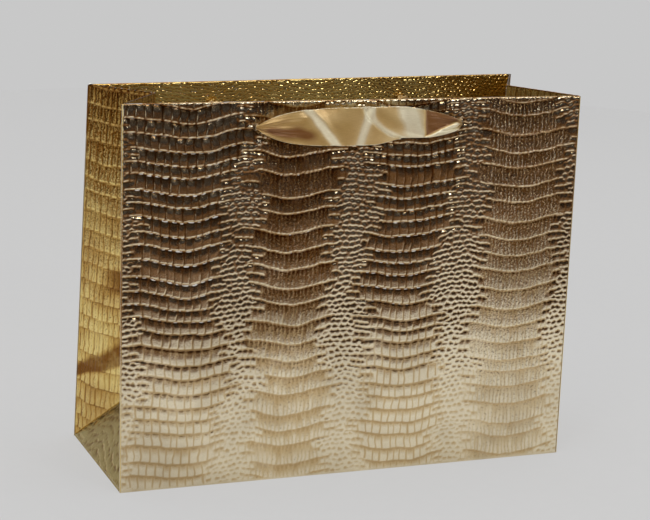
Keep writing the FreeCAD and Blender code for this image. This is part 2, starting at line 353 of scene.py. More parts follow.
def newGroup(name, inputs, outputs):
    tree = bpy.data.node_groups.new(name, "ShaderNodeTree")
    for label, kind, default in inputs:
        socket = tree.interface.new_socket(label, in_out="INPUT", socket_type=kind)
        if default is not None:
            socket.default_value = default
    for label, kind in outputs:
        tree.interface.new_socket(label, in_out="OUTPUT", socket_type=kind)
    return tree, tree.nodes.new("NodeGroupInput"), tree.nodes.new("NodeGroupOutput")


def addMath(tree, operation, first, second=None):
    node = tree.nodes.new("ShaderNodeMath")
    node.operation = operation
    for index, value in enumerate((first, second)):
        if value is None:
            continue
        if isinstance(value, (int, float)):
            node.inputs[index].default_value = value
        else:
            tree.links.new(value, node.inputs[index])
    return node.outputs[0]


# fine two-size grain, 0 to 1
def grainGroup():
    tree, entry, leave = newGroup("grainField", [
        ("Vector", "NodeSocketVector", None), ("Coarse", "NodeSocketFloat", 40.0),
        ("Fine", "NodeSocketFloat", 300.0)], [("Value", "NodeSocketFloat")])
    values = []
    for label in ("Coarse", "Fine"):
        noise = tree.nodes.new("ShaderNodeTexNoise")
        noise.inputs["Detail"].default_value = 4.0
        tree.links.new(entry.outputs["Vector"], noise.inputs["Vector"])
        tree.links.new(entry.outputs[label], noise.inputs["Scale"])
        values.append(noise.outputs["Fac"])
    total = addMath(tree, "ADD", values[0], values[1])
    tree.links.new(addMath(tree, "MULTIPLY", total, 0.5), leave.inputs["Value"])
    return tree


# scattered rubbed places, 0 to 1
def wearGroup():
    tree, entry, leave = newGroup("wearMask", [
        ("Vector", "NodeSocketVector", None), ("Scale", "NodeSocketFloat", 12.0),
        ("Start", "NodeSocketFloat", 0.52), ("End", "NodeSocketFloat", 0.72)], [("Mask", "NodeSocketFloat")])
    noise = tree.nodes.new("ShaderNodeTexNoise")
    noise.inputs["Detail"].default_value = 6.0
    noise.inputs["Roughness"].default_value = 0.62
    tree.links.new(entry.outputs["Vector"], noise.inputs["Vector"])
    tree.links.new(entry.outputs["Scale"], noise.inputs["Scale"])
    span = tree.nodes.new("ShaderNodeMapRange")
    span.interpolation_type = "SMOOTHSTEP"
    tree.links.new(noise.outputs["Fac"], span.inputs["Value"])
    tree.links.new(entry.outputs["Start"], span.inputs["From Min"])
    tree.links.new(entry.outputs["End"], span.inputs["From Max"])
    tree.links.new(span.outputs["Result"], leave.inputs["Mask"])
    return tree


grain = grainGroup()
wear = wearGroup()


def newMaterial(name):
    material = bpy.data.materials.new(name)
    material.use_nodes = True
    tree = material.node_tree
    return material, tree, tree.nodes["Principled BSDF"]


def useGroup(tree, group, vector, **values):
    node = tree.nodes.new("ShaderNodeGroup")
    node.node_tree = group
    tree.links.new(vector, node.inputs["Vector"])
    for label, value in values.items():
        node.inputs[label].default_value = value
    return node.outputs[0]


def coordinates(tree, kind):
    return tree.nodes.new("ShaderNodeTexCoord").outputs[kind]


def attributeValue(tree, name):
    node = tree.nodes.new("ShaderNodeAttribute")
    node.attribute_name = name
    return node.outputs["Fac"]


def ramp(tree, value, stops):
    node = tree.nodes.new("ShaderNodeValToRGB")
    elements = node.color_ramp.elements
    while len(elements) < len(stops):
        elements.new(0.5)
    for element, (position, color) in zip(elements, stops):
        element.position = position
        element.color = (*color, 1.0)
    tree.links.new(value, node.inputs["Fac"])
    return node.outputs["Color"]


def mixColor(tree, mode, share, first, second):
    node = tree.nodes.new("ShaderNodeMix")
    node.data_type = "RGBA"
    node.blend_type = mode
    for socket, value in ((node.inputs[0], share), (node.inputs[6], first), (node.inputs[7], second)):
        if isinstance(value, (int, float)):
            socket.default_value = value
        elif isinstance(value, tuple):
            socket.default_value = (*value, 1.0)
        else:
            tree.links.new(value, socket)
    return node.outputs[2]


def spread(tree, value, low, high):
    node = tree.nodes.new("ShaderNodeMapRange")
    node.inputs["To Min"].default_value = low
    node.inputs["To Max"].default_value = high
    tree.links.new(value, node.inputs["Value"])
    return node.outputs["Result"]


def bump(tree, shader, height, distance):
    node = tree.nodes.new("ShaderNodeBump")
    node.inputs["Strength"].default_value = 1.0
    node.inputs["Distance"].default_value = distance
    tree.links.new(height, node.inputs["Height"])
    tree.links.new(node.outputs["Normal"], shader.inputs["Normal"])


foilLook = {
    # groove, slope and crown are painted shade: darker from the crowns down into the grooves
    "groove": (0.22, 0.10, 0.025),
    "slope": (0.64, 0.48, 0.25),
    "crown": (0.87, 0.79, 0.59),
    "rubbed": (0.86, 0.77, 0.57),
    "speck": (0.55, 0.5, 0.45),
    "paleLow": (0.78, 0.76, 0.74),
    "paleHigh": (1.0, 1.0, 1.0),
    # deep: a yellower copy for the sides, hems and base triangles, painted warm bounced light
    "deepLow": (0.78, 0.60, 0.28),
    "deepHigh": (1.0, 0.88, 0.46),
    "roughLow": 0.13,
    "roughHigh": 0.25,
    "strokeGap": 0.027,
    "bump": 0.00020,
}


def foilMaterial(name, tint):
    material, tree, shader = newMaterial(name)
    uv = coordinates(tree, "UV")
    # painted shade: the per-vertex values darken the foil from its crowns down into its grooves and dips
    paintedShadeAndSheen = attributeValue(tree, "paintedShadeAndSheen")
    fine = useGroup(tree, grain, uv, Coarse=9.0, Fine=140.0)
    rubbed = useGroup(tree, wear, uv, Scale=2.2, Start=0.50, End=0.74)
    stops = [(0.0, foilLook["groove"]), (0.34, foilLook["slope"]), (0.8, foilLook["crown"])]
    color = ramp(tree, paintedShadeAndSheen, stops)
    color = mixColor(tree, "MIX", addMath(tree, "MULTIPLY", rubbed, 0.5), color, foilLook["rubbed"])
    specks = ramp(tree, fine, [(0.3, foilLook["speck"]), (0.65, (1, 1, 1))])
    color = mixColor(tree, "MULTIPLY", 0.35, color, specks)
    clouds = useGroup(tree, wear, uv, Scale=1.1, Start=0.36, End=0.62)
    tints = ramp(tree, clouds, [(0.0, foilLook[f"{tint}Low"]), (1.0, foilLook[f"{tint}High"])])
    color = mixColor(tree, "MULTIPLY", 1.0, color, tints)
    tree.links.new(color, shader.inputs["Base Color"])
    shader.inputs["Metallic"].default_value = 1.0
    roughness = spread(tree, fine, foilLook["roughLow"], foilLook["roughHigh"])
    tree.links.new(roughness, shader.inputs["Roughness"])
    shader.inputs["Coat Weight"].default_value = 0.07
    shader.inputs["Coat Roughness"].default_value = 0.12
    # fine upright strokes where the belt has them, over a slight paper grain
    parts = tree.nodes.new("ShaderNodeSeparateXYZ")
    tree.links.new(uv, parts.inputs[0])
    uneven = useGroup(tree, grain, uv, Coarse=11.0, Fine=34.0)
    along = addMath(tree, "MULTIPLY", parts.outputs["X"], math.pi / foilLook["strokeGap"])
    bent = addMath(tree, "ADD", along, addMath(tree, "MULTIPLY", uneven, 9.0))
    wave = addMath(tree, "POWER", addMath(tree, "ABSOLUTE", addMath(tree, "SINE", bent)), 3.0)
    broken = useGroup(tree, wear, uv, Scale=30.0, Start=0.40, End=0.56)
    wave = addMath(tree, "MULTIPLY", wave, broken)
    wave = addMath(tree, "MULTIPLY", wave, attributeValue(tree, "strokes"))
    height = addMath(tree, "ADD", wave, addMath(tree, "MULTIPLY", fine, 0.5))
    bump(tree, shader, height, foilLook["bump"])
    return material


paperLook = {"base": (0.80, 0.79, 0.76), "fibre": (0.70, 0.68, 0.64), "marked": (0.66, 0.63, 0.57)}


def paperMaterial():
    material, tree, shader = newMaterial("whitePaper")
    uv = coordinates(tree, "UV")
    fine = useGroup(tree, grain, uv, Coarse=14.0, Fine=220.0)
    marks = useGroup(tree, wear, uv, Scale=3.0, Start=0.55, End=0.8)
    color = ramp(tree, fine, [(0.3, paperLook["fibre"]), (0.65, paperLook["base"])])
    color = mixColor(tree, "MIX", addMath(tree, "MULTIPLY", marks, 0.4), color, paperLook["marked"])
    tree.links.new(color, shader.inputs["Base Color"])
    tree.links.new(spread(tree, fine, 0.68, 0.88), shader.inputs["Roughness"])
    bump(tree, shader, fine, 0.00006)
    return material


boardLook = {"base": (0.40, 0.38, 0.34), "fleck": (0.24, 0.22, 0.19), "scuff": (0.50, 0.48, 0.44)}


def boardMaterial():
    material, tree, shader = newMaterial("greyBoard")
    place = coordinates(tree, "Object")
    fine = useGroup(tree, grain, place, Coarse=120.0, Fine=1400.0)
    scuffs = useGroup(tree, wear, place, Scale=28.0, Start=0.52, End=0.7)
    color = ramp(tree, fine, [(0.32, boardLook["fleck"]), (0.55, boardLook["base"])])
    color = mixColor(tree, "MIX", addMath(tree, "MULTIPLY", scuffs, 0.6), color, boardLook["scuff"])
    tree.links.new(color, shader.inputs["Base Color"])
    tree.links.new(spread(tree, fine, 0.75, 0.95), shader.inputs["Roughness"])
    bump(tree, shader, fine, 0.00012)
    return material


satinLook = {
    "shade": (0.46, 0.29, 0.09),
    "base": (0.62, 0.42, 0.155),
    "lustre": [(0.1, (0.42, 0.26, 0.15)), (0.40, (0.98, 0.96, 0.92)),
               (0.60, (1.2, 1.3, 1.6)), (0.92, (1.6, 2.2, 4.4))],
    "roughLow": 0.26,
    "roughHigh": 0.38,
}


def satinMaterial():
    material, tree, shader = newMaterial("satinRibbon")
    uv = coordinates(tree, "UV")
    stretched = tree.nodes.new("ShaderNodeMapping")
    stretched.inputs["Scale"].default_value = (6.0, 90.0, 1.0)  # threads run along the ribbon
    tree.links.new(uv, stretched.inputs["Vector"])
    threads = useGroup(tree, grain, stretched.outputs["Vector"], Coarse=4.0, Fine=16.0)
    color = ramp(tree, threads, [(0.3, satinLook["shade"]), (0.6, satinLook["base"])])
    # painted highlights and shade: the lustre values lighten the satin's colour to near white along its sheen
    # and darken it in folds
    lustre = ramp(tree, attributeValue(tree, "paintedShadeAndSheen"), satinLook["lustre"])
    tree.links.new(mixColor(tree, "MULTIPLY", 1.0, color, lustre), shader.inputs["Base Color"])
    shader.inputs["Metallic"].default_value = 0.3
    roughness = spread(tree, threads, satinLook["roughLow"], satinLook["roughHigh"])
    tree.links.new(roughness, shader.inputs["Roughness"])
    shader.inputs["Specular IOR Level"].default_value = 0.8
    shader.inputs["Sheen Weight"].default_value = 0.25
    shader.inputs["Sheen Roughness"].default_value = 0.4
    bump(tree, shader, threads, 0.00005)
    return material


floorLook = {"low": (0.76, 0.76, 0.76), "high": (0.80, 0.80, 0.80)}


def floorMaterial():
    material, tree, shader = newMaterial("paleFloor")
    place = coordinates(tree, "Object")
    fine = useGroup(tree, grain, place, Coarse=3.0, Fine=90.0)
    tree.links.new(ramp(tree, fine, [(0.35, floorLook["low"]), (0.65, floorLook["high"])]),
                   shader.inputs["Base Color"])
    tree.links.new(spread(tree, fine, 0.8, 0.95), shader.inputs["Roughness"])
    shader.inputs["Specular IOR Level"].default_value = 0.1
    glow = tree.nodes.new("ShaderNodeEmission")
    glow.inputs["Color"].default_value = (0.578, 0.578, 0.578, 1)
    path = tree.nodes.new("ShaderNodeLightPath")
    mixed = tree.nodes.new("ShaderNodeMixShader")
    tree.links.new(addMath(tree, "MULTIPLY", path.outputs["Is Camera Ray"], 0.82), mixed.inputs[0])
    tree.links.new(shader.outputs[0], mixed.inputs[1])
    tree.links.new(glow.outputs[0], mixed.inputs[2])
    tree.links.new(mixed.outputs[0], tree.nodes["Material Output"].inputs["Surface"])
    return material


foil = foilMaterial("embossedFoil", "pale")
# a yellower copy of the same foil, painted warm bounced light for the sides, hems and base triangles
warmBounceFoil = foilMaterial("embossedFoilWarmBounce", "deep")
paper = paperMaterial()
board = boardMaterial()
satin = satinMaterial()
print("materials made")


# outer faces of the paper, read from the CAD nodes


# point on the outside of a wide panel: share across from its left edge as seen from outside
def panelFace(side):
    node = f"{sideName[side]}_panel"
    corner = {(end, top): farthest(node, (end, side, top)) for end in (-1, 1) for top in (-1, 1)}
    leftEnd = side  # from outside, the front's left is -x and the back's left is +x

    def face(s, z):
        edges = []
        for end in (leftEnd, -leftEnd):
            low = corner[(end, -1)]
            high = corner[(end, 1)]
            t = ((z - low[2]) / (high[2] - low[2]))[..., None]
            edges.append(low + (high - low) * t)
        return edges[0] + (edges[1] - edges[0]) * s[..., None]

    return face


# point on the outside of half a side: share 0 at the corner crease and 1 at the middle or diagonal crease
def gussetFace(end, side):
    points = nodePoints(f"{endName[end]}_gusset_{halfName[side]}_half")
    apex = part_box(f"{endName[end]}_base_triangle")[1].z + 0.6 * mm
    heights = []
    corners = []
    creases = []
    for z in (points[:, 2].min(), points[np.argmin(np.abs(points[:, 2] - apex)), 2], points[:, 2].max()):
        level = points[np.abs(points[:, 2] - z) < 2e-5]
        outmost = level[np.argmax(np.abs(level[:, 0]))]
        reach = np.abs(level[:, 1] - outmost[1])
        atCrease = level[reach > reach.max() - 2e-4]
        heights.append(z)
        corners.append(outmost)
        creases.append(atCrease[np.argmax(np.abs(atCrease[:, 0]))])
    heights = np.array(heights)
    corners = np.array(corners) + np.array([0, side * 0.55 * mm, 0])  # meets the wide panel's edge
    creases = np.array(creases)

    def line(places, z):
        index = np.clip(np.searchsorted(heights, z) - 1, 0, len(heights) - 2)
        t = ((z - heights[index]) / (heights[index + 1] - heights[index]))[..., None]
        return places[index] + (places[index + 1] - places[index]) * t

    def face(s, z):
        start = line(corners, z)
        return start + (line(creases, z) - start) * s[..., None]

    return face, heights


rimHeight = farthest("front_panel", (0, 0, 1))[2]
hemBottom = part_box("front_top_hem")[0].z
panelTurn = abs(farthest("front_top_hem", (-1, 1, 1))[1] - farthest("front_panel", (-1, -1, 1))[1]) / 2
sideTurn = 0.55 * mm  # radius of the turned-in rim on the gusseted ends


# height and depth below the outer face at a length v up the skin, over the rim and down inside
def rimProfile(v, turn):
    straight = rimHeight - turn
    angle = np.clip((v - straight) / turn, 0, math.pi)
    height = np.where(v < straight, v, straight + turn * np.sin(angle))
    height = height - np.maximum(v - straight - math.pi * turn, 0)
    return height, turn * (1 - np.cos(angle))


def skinTop(turn):
    return rimHeight - turn + turn * math.pi / 2


def skinEnd(turn):
    return rimHeight - turn + turn * math.pi + (rimHeight - turn - hemBottom)


# positions along a line with a few extra close to both ends
def evenSteps(length, step):
    near = np.array([0.0, 0.3, 0.7, 1.2]) * mm
    middle = np.linspace(near[-1], length - near[-1], max(3, int(round(length / step))))
    return np.concatenate([near[:-1], middle, length - near[:-1][::-1]])


holes = {}
for side in (-1, 1):
    holes[side] = []
    for end in (-1, 1):
        low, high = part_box(f"{sideName[side]}_{endName[end]}_knot")
        ball = (high.x - low.x) / 2
        holes[side].append(((low.x + high.x) / 2, high.z - ball))
holeRadius = 2.5 * mm
holeMargin = 0.3 * mm


# grid vertices near a hole move to its edge, and faces inside it are left out
def pierce(points, side):
    kept = np.ones((points.shape[0] - 1, points.shape[1] - 1), bool)
    for holeX, holeZ in holes[side]:
        x = points[..., 0] - holeX
        z = points[..., 2] - holeZ
        away = np.hypot(x, z)
        moved = away < holeRadius + holeMargin
        scale = np.where(moved, holeRadius / np.maximum(away, 1e-6), 1.0)
        points[..., 0] = holeX + x * scale
        points[..., 2] = holeZ + z * scale
        kept &= ~(moved[:-1, :-1] & moved[1:, :-1] & moved[:-1, 1:] & moved[1:, 1:])
    return kept


uvSize = 0.1  # metres of sheet to one unit of its UV map
skinLook = {"level": 0.8, "lipShade": 0.72, "softFrom": 120, "softTo": 215, "softShade": 0.62, "crease": 0.35}
linerTop = rimHeight - 34 * mm


def bandUv(across, down):
    return np.stack([across / uvSize, down / uvSize], axis=-1)


# slow waves of the paper, zero along its creases and near the rim
def paperLift(s, v, look, seed):
    if "bow" not in look:
        return 0 * s
    bow = look["bow"] * np.sin(math.pi * s) * np.sin(math.pi * np.clip(v / (0.82 * rimHeight), 0, 1)) ** 2
    ripple = look["ripple"] * drift(s * 5, v / 0.06, seed + 90) * np.sin(math.pi * s)
    return (bow + ripple * smooth(0.0, 0.03, v) * (1 - smooth(0.19, 0.215, v))) * mm


# smooth white inside of a skin, or of the part of it between two shares across
def addLiner(patch, sheet, lowest, look, seed, part):
    s, v = np.meshgrid(np.linspace(*part, 41), np.linspace(lowest, linerTop, 61))
    lining = sheet["face"](s, v) + np.array(sheet["inward"]) * paperThick * 1.15
    if sheet["mirrored"]:
        lining = lining[:, ::-1]
        s = s[:, ::-1]
    lining = lining + gridNormals(lining) * paperLift(s, v, look, seed)[..., None]
    liningUv = bandUv(sheet["span"](s, v) * s, v)
    patch.grid(lining[:, ::-1], liningUv[:, ::-1], np.ones(s.shape), np.zeros(s.shape), 1)


# one embossed skin over the given shares across and lengths up the sheet, as one mesh or as named parts
def embossed(name, sheet, places, rows, layout, seed, look):
    s, v = np.meshgrid(places, rows)
    z, depth = rimProfile(v, sheet["turn"])
    points = sheet["face"](s, z) + np.array(sheet["inward"]) * depth[..., None]
    if sheet["mirrored"]:
        points = points[:, ::-1]
        s = s[:, ::-1]
    normals = gridNormals(points)
    span = sheet["span"](s, z) / mm
    u = s * span
    d = (skinTop(sheet["turn"]) - v) / mm
    height, strokes, lips = sheetRelief(u, d, layout, seed)
    nearSide = np.minimum(s, 1 - s) * span
    fade = smooth(0.2, 1.8, nearSide) * smooth(-0.5, 1.8, np.abs(d) + 0.9)
    fade = fade * smooth(0.0, 2.5, (v - rows[0]) / mm + look.get("foot", 0.0))
    crease = -look.get("crease", skinLook["crease"]) * (1 - smooth(0.0, 1.1, nearSide))
    soft = look.get("soften", 0.0) * smooth(skinLook["softFrom"], skinLook["softTo"], d)
    raised = look["emboss"] * (1 - soft) * (height - skinLook["level"]) * fade + crease
    points = points + normals * (paperLift(s, v, look, seed) + raised * mm)[..., None]
    kept = pierce(points, look["pierced"]) if "pierced" in look else None
    uv = bandUv(u * mm, -d * mm)
    # painted shade: the colour darkens with the height, and again on the lip under each row
    shade = np.clip(height - skinLook["lipShade"] * lips, 0, 1) * fade + (1 - fade) * skinLook["level"]
    shade = shade + (skinLook["softShade"] - shade) * 0.8 * soft
    shade = shade * smooth(0.3, 1.6, np.abs(d))  # painted shade along the rim, which dims its highlight
    # painted shade bands, where the look has them
    if "paintedShade" in look:
        shade = shade * look["paintedShade"](s, z)
    parts = look.get("parts", ("",))
    cuts = np.linspace(0, points.shape[1] - 1, len(parts) + 1).astype(int)
    joined = gridNormals(points)
    pieces = []
    for index, label in enumerate(parts):
        first = cuts[index]
        last = cuts[index + 1]
        take = slice(first, last + 1)
        patch = Patchwork()
        patch.grid(points[:, take], uv[:, take], shade[:, take], (strokes * fade)[:, take], 0,
                   thick=paperThick, edgeSlot=look.get("edgeSlot", 0), normals=normals[:, take],
                   kept=None if kept is None else kept[:, first:last])
        if look.get("lined"):
            addLiner(patch, sheet, rows[0], look, seed, (index / len(parts), (index + 1) / len(parts)))
        seam = None
        if label:
            # neighbouring parts share their normals where they meet
            starts = np.arange(len(rows)) * (last + 1 - first)
            seam = (np.concatenate([starts, starts + last - first]),
                    np.concatenate([joined[:, first], joined[:, last]]))
        pieces.append(patch.build(name + label, [look.get("foil", foil), paper], seam=seam))
    return pieces


# the two wide panels and their turned-in tops

panelLook = {
    -1: {"bow": 0.9, "ripple": 0.5, "emboss": 0.42, "soften": 0.55, "lined": True,
         "parts": ("_left", "_middle", "_right")},
    1: {"bow": 1.2, "ripple": 0.5, "emboss": 0.42, "lined": True},
}
panelSeed = {-1: 3, 1: 211}
panelStep = {-1: (0.54 * mm, 0.64 * mm), 1: (1.12 * mm, 0.84 * mm)}  # finer in front, made in three parts
hemLook = {"emboss": 0.54, "edgeSlot": 1, "crease": 0.0, "foot": 1.0, "foil": warmBounceFoil}
hemStep = (0.62 * mm, 0.52 * mm)
hemInset = 3.0 * mm
bottom = 0.1 * mm
for side in (-1, 1):
    node = f"{sideName[side]}_panel"
    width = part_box(node)[1].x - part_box(node)[0].x
    sheet = {"face": panelFace(side), "inward": (0, -side, 0), "turn": panelTurn, "mirrored": False,
             "span": lambda s, z, width=width: width + 0 * s}
    places = evenSteps(width, panelStep[side][0]) / width
    rows = np.concatenate([bottom + np.arange(0, rimHeight - panelTurn - bottom, panelStep[side][1]),
                           rimHeight - panelTurn + np.linspace(0, math.pi / 2, 5) * panelTurn])
    look = {**panelLook[side], "pierced": side}
    for panel in embossed(f"{node}_skin", sheet, places, rows, wideLayout, panelSeed[side], look):
        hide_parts(node)
        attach(panel, f"{sideName[side]}_wall")

    inset = hemInset / width
    hemPlaces = inset + evenSteps(width, hemStep[0]) / width * (1 - 2 * inset)
    start = skinTop(panelTurn)
    straight = np.arange(start + panelTurn * math.pi / 2 + 0.6 * mm, skinEnd(panelTurn), hemStep[1])
    hemRows = np.concatenate([start + np.linspace(0, math.pi / 2, 5) * panelTurn, straight])
    look = {**hemLook, "pierced": side}
    hemName = f"{sideName[side]}_turned_hem"
    for hem in embossed(hemName, sheet, hemPlaces, hemRows, hemLayout, panelSeed[side], look):
        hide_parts(f"{sideName[side]}_top_hem")
        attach(hem, f"{sideName[side]}_wall")
    print(f"{sideName[side]} panel made")


# the gusseted ends


# where a side half stops following its wall and where it stands still with the base
def blendLine(face, heights, side):
    apex = face(np.array([1.0]), np.array([heights[-2]]))[0]
    top = face(np.array([1.0]), np.array([heights[-1]]))[0]
    along = unit(np.array([top[1] - apex[1], top[2] - apex[2]]))
    away = np.array([along[1], -along[0]])
    corner = [face(np.array([0.0]), np.array([z]))[0] for z in (heights[0], heights[-1])]
    still = away @ apex[1:]
    gaps = [abs(away @ c[1:] - still) for c in corner]
    moving = still + side * min(gaps)
    return (0, away[0] * moving, away[1] * moving), (0, away[0] * still, away[1] * still)


gussetLook = {"bow": 0.5, "ripple": 0.5, "emboss": 0.48, "lined": True, "foil": warmBounceFoil}
gussetHemLook = {**hemLook, "emboss": 0.25}
gussetStep = (0.85 * mm, 0.75 * mm)
gussetFoot = 0.3 * mm
bandLevels = {"low": (44, 25), "high": (100, 36)}  # height at the corner and rise to the crease, mm


# painted shade in bands along the rows, one just over the crease that slants down the side, and darker
# towards the top
def paintedShadeBands(strength):
    def paintedShade(s, z):
        low = z / mm - bandLevels["low"][0] - bandLevels["low"][1] * s + 3 * drift(s * 5, z / 0.03, 77)
        high = z / mm - bandLevels["high"][0] - bandLevels["high"][1] * s + 4 * drift(s * 6, z / 0.03, 78)
        lower = smooth(-1, 3, low) * (1 - smooth(9 + 8 * s, 15 + 10 * s, low))
        upper = (1 - smooth(5, 13, np.abs(high))) * smooth(0.1, 0.7, s)
        top = smooth(190, 240, z / mm)
        return np.clip(1 - strength * (0.97 * lower + 0.92 * upper) - 0.55 * top, 0.02, 1)

    return paintedShade


for end in (-1, 1):
    for side in (-1, 1):
        face, heights = gussetFace(end, side)

        def reach(s, z, face=face):
            return np.linalg.norm(face(np.ones_like(s), z) - face(np.zeros_like(s), z), axis=-1)

        # share runs from the corner; the grid runs left to right from outside
        sheet = {"face": face, "inward": (-end, 0, 0), "turn": sideTurn,
                 "mirrored": end * side > 0, "span": reach}
        name = f"{endName[end]}_{halfName[side]}_side"
        node = f"{endName[end]}_gusset_{halfName[side]}"
        topWidth = float(reach(np.array([0.0]), np.array([rimHeight]))[0])
        places = evenSteps(topWidth, gussetStep[0]) / topWidth
        rows = np.concatenate([gussetFoot + np.arange(0, rimHeight - sideTurn - gussetFoot, gussetStep[1]),
                               rimHeight - sideTurn + np.linspace(0, math.pi / 2, 4) * sideTurn])
        seed = 400 + 37 * end + 11 * side
        start, stop = blendLine(face, heights, side)
        # the painted shade bands are strongest on the left rear half
        look = {**gussetLook, "paintedShade": paintedShadeBands(1.0 if (end, side) == (-1, 1) else 0.45)}
        for piece in embossed(f"{name}_skin", sheet, places, rows, sideLayout, seed, look):
            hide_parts(f"{node}_half")
            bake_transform(piece)

        begin = skinTop(sideTurn)
        straight = np.arange(begin + sideTurn * math.pi / 2 + 0.5 * mm, skinEnd(sideTurn), 0.95 * mm)
        hemRows = np.concatenate([begin + np.linspace(0, math.pi / 2, 4) * sideTurn, straight])
        hemPlaces = 0.05 + places * 0.95
        for piece in embossed(f"{name}_hem_skin", sheet, hemPlaces, hemRows, sideLayout, seed, gussetHemLook):
            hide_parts(f"{node}_hem")
            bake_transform(piece)
        if end == 1 and side == 1:
            seamFace = face
    print(f"{endName[end]} side made")

# glue flap inside the right end, just below its turned-in rim
seamLook = {"shares": (0.012, 0.285), "depth": 1.15, "waviness": 0.12}
seamLow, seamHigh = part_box("side_seam_flap")
s, z = np.meshgrid(np.linspace(*seamLook["shares"], 19), np.linspace(seamLow.z, seamHigh.z, 91))
sunk = (seamLook["depth"] + seamLook["waviness"] * drift(s * 9, z / 0.03, 61)) * mm
points = seamFace(s, z) - np.array([1.0, 0, 0]) * sunk[..., None]
patch = Patchwork()
patch.grid(points, bandUv(s * 0.06, z), np.ones(s.shape), np.zeros(s.shape), 0, thick=paperThick,
           normals=-gridNormals(points))
seam = patch.build("seam_flap_skin", [paper])
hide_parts("side_seam_flap")
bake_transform(seam)


# the triangles that the base folds leave at both ends
triangleLook = {"emboss": 0.30, "level": 0.6, "lowReach": 0.85 * mm, "highReach": 0.15 * mm,
                "rowStep": 0.9 * mm, "step": 1.3 * mm, "aside": 62.5, "below": 60}
for end in (-1, 1):
    node = f"{endName[end]}_base_triangle"
    low = farthest(node, (end, 1, -2))
    high = farthest(node, (end * 0.2, 0.05, 5))
    lowHalf = abs(low[1]) + triangleLook["lowReach"]
    highHalf = abs(high[1]) + triangleLook["highReach"]
    rows = np.arange(0.3 * mm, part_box(node)[1].z - 0.2 * mm, triangleLook["rowStep"])
    places = evenSteps(2 * lowHalf, triangleLook["step"]) / (2 * lowHalf)
    s, v = np.meshgrid(places, rows)
    t = (v - low[2]) / (high[2] - low[2])
    half = lowHalf + (highHalf - lowHalf) * t
    points = np.stack([low[0] + (high[0] - low[0]) * t, end * (2 * s - 1) * half, v], axis=-1)
    if np.mean(gridNormals(points)[..., 0]) * end < 0:
        points = points[:, ::-1]
    normals = unit(np.nan_to_num(gridNormals(points)))
    normals[:] = normals[:8].mean(axis=(0, 1))
    normals = unit(normals)
    half = np.abs(points[:, :1, 1])
    u = points[..., 1] / mm + triangleLook["aside"]
    d = triangleLook["below"] - v / mm
    height, strokes = sheetRelief(u, d, triangleLayout, 700 + end)[:2]
    nearSide = (half - np.abs(points[..., 1])) / mm
    fade = smooth(0.1, 1.6, nearSide) * smooth(0.0, 2.0, v / mm)
    raised = triangleLook["emboss"] * (height - triangleLook["level"]) * fade * mm
    points = points + normals * raised[..., None]
    patch = Patchwork()
    uv = bandUv(u * mm, -d * mm)
    shade = np.clip(height, 0, 1) * fade + (1 - fade) * skinLook["level"]
    patch.grid(points, uv, shade, strokes * fade, 0, thick=paperThick, normals=normals)
    lining = (points - normals * paperThick * 1.2)[::6, ::-1]
    patch.grid(lining, uv[::6, ::-1], np.ones(lining.shape[:2]), np.zeros(lining.shape[:2]), 1)
    triangle = patch.build(f"{endName[end]}_triangle_skin", [warmBounceFoil, paper])
    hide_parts(node)
    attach(triangle, "base")


# the four flaps of the base, foil side down
flapLook = {
    "base_back_flap": {"axis": 1, "sign": 1, "seed": 801},
    "base_front_flap": {"axis": 1, "sign": -1, "seed": 823},
    "base_left_flap": {"axis": 0, "sign": -1, "seed": 839},
    "base_right_flap": {"axis": 0, "sign": 1, "seed": 853},
}
flapEmboss = 0.28 * mm
for node, look in flapLook.items():
    corners = {}
    for outer in (1, -1):
        for other in (-1, 1):
            way = [0, 0, -1]
            way[look["axis"]] = 10 * outer * look["sign"]
            way[1 - look["axis"]] = other
            corners[(outer, other)] = farthest(node, way)
    stretch = np.zeros(3)
    stretch[look["axis"]] = look["sign"] * 0.9 * mm  # reaches the crease
    length = np.linalg.norm(corners[(1, 1)] - corners[(1, -1)])
    depth = abs(corners[(1, 1)][look["axis"]] - corners[(-1, 1)][look["axis"]])
    t, s = np.meshgrid(np.linspace(0, 1, max(8, int(depth / (1.3 * mm)))),
                       np.linspace(0, 1, max(8, int(length / (1.4 * mm)))), indexing="ij")
    outerEdge = corners[(1, -1)] + stretch + (corners[(1, 1)] - corners[(1, -1)]) * s[..., None]
    innerEdge = corners[(-1, -1)] + (corners[(-1, 1)] - corners[(-1, -1)]) * s[..., None]
    points = outerEdge + (innerEdge - outerEdge) * t[..., None]
    if gridNormals(points)[2, 2, 2] > 0:
        points = points[:, ::-1]
    level = points[..., 2].copy()
    u = points[..., 1 - look["axis"]] / mm + 160
    d = points[..., look["axis"]] / mm + 300
    height, strokes = sheetRelief(u, d, wideLayout, look["seed"])[:2]
    points[..., 2] = level + flapEmboss * (1 - np.clip(height, 0, 1))
    normals = np.zeros(points.shape)
    normals[..., 2] = -1
    patch = Patchwork()
    uv = bandUv(u * mm, d * mm)
    # the height also gives the painted shade in the hollows
    patch.grid(points, uv, np.clip(height, 0, 1), strokes, 0, thick=paperThick, edgeSlot=1, normals=normals)
    top = points[::5, ::-5].copy()
    top[..., 2] = level.max() + paperThick
    patch.grid(top, uv[::5, ::-5], np.ones(top.shape[:2]), np.zeros(top.shape[:2]), 1)
    flap = patch.build(f"{node}_skin", [foil, paper])
    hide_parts(node)
    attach(flap, "base")
print("base made")

for node in ("front_reinforcement_strip", "back_reinforcement_strip", "base_board"):
    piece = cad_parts[node]
    piece.data.materials.clear()
    piece.data.materials.append(board)


# ribbon handles

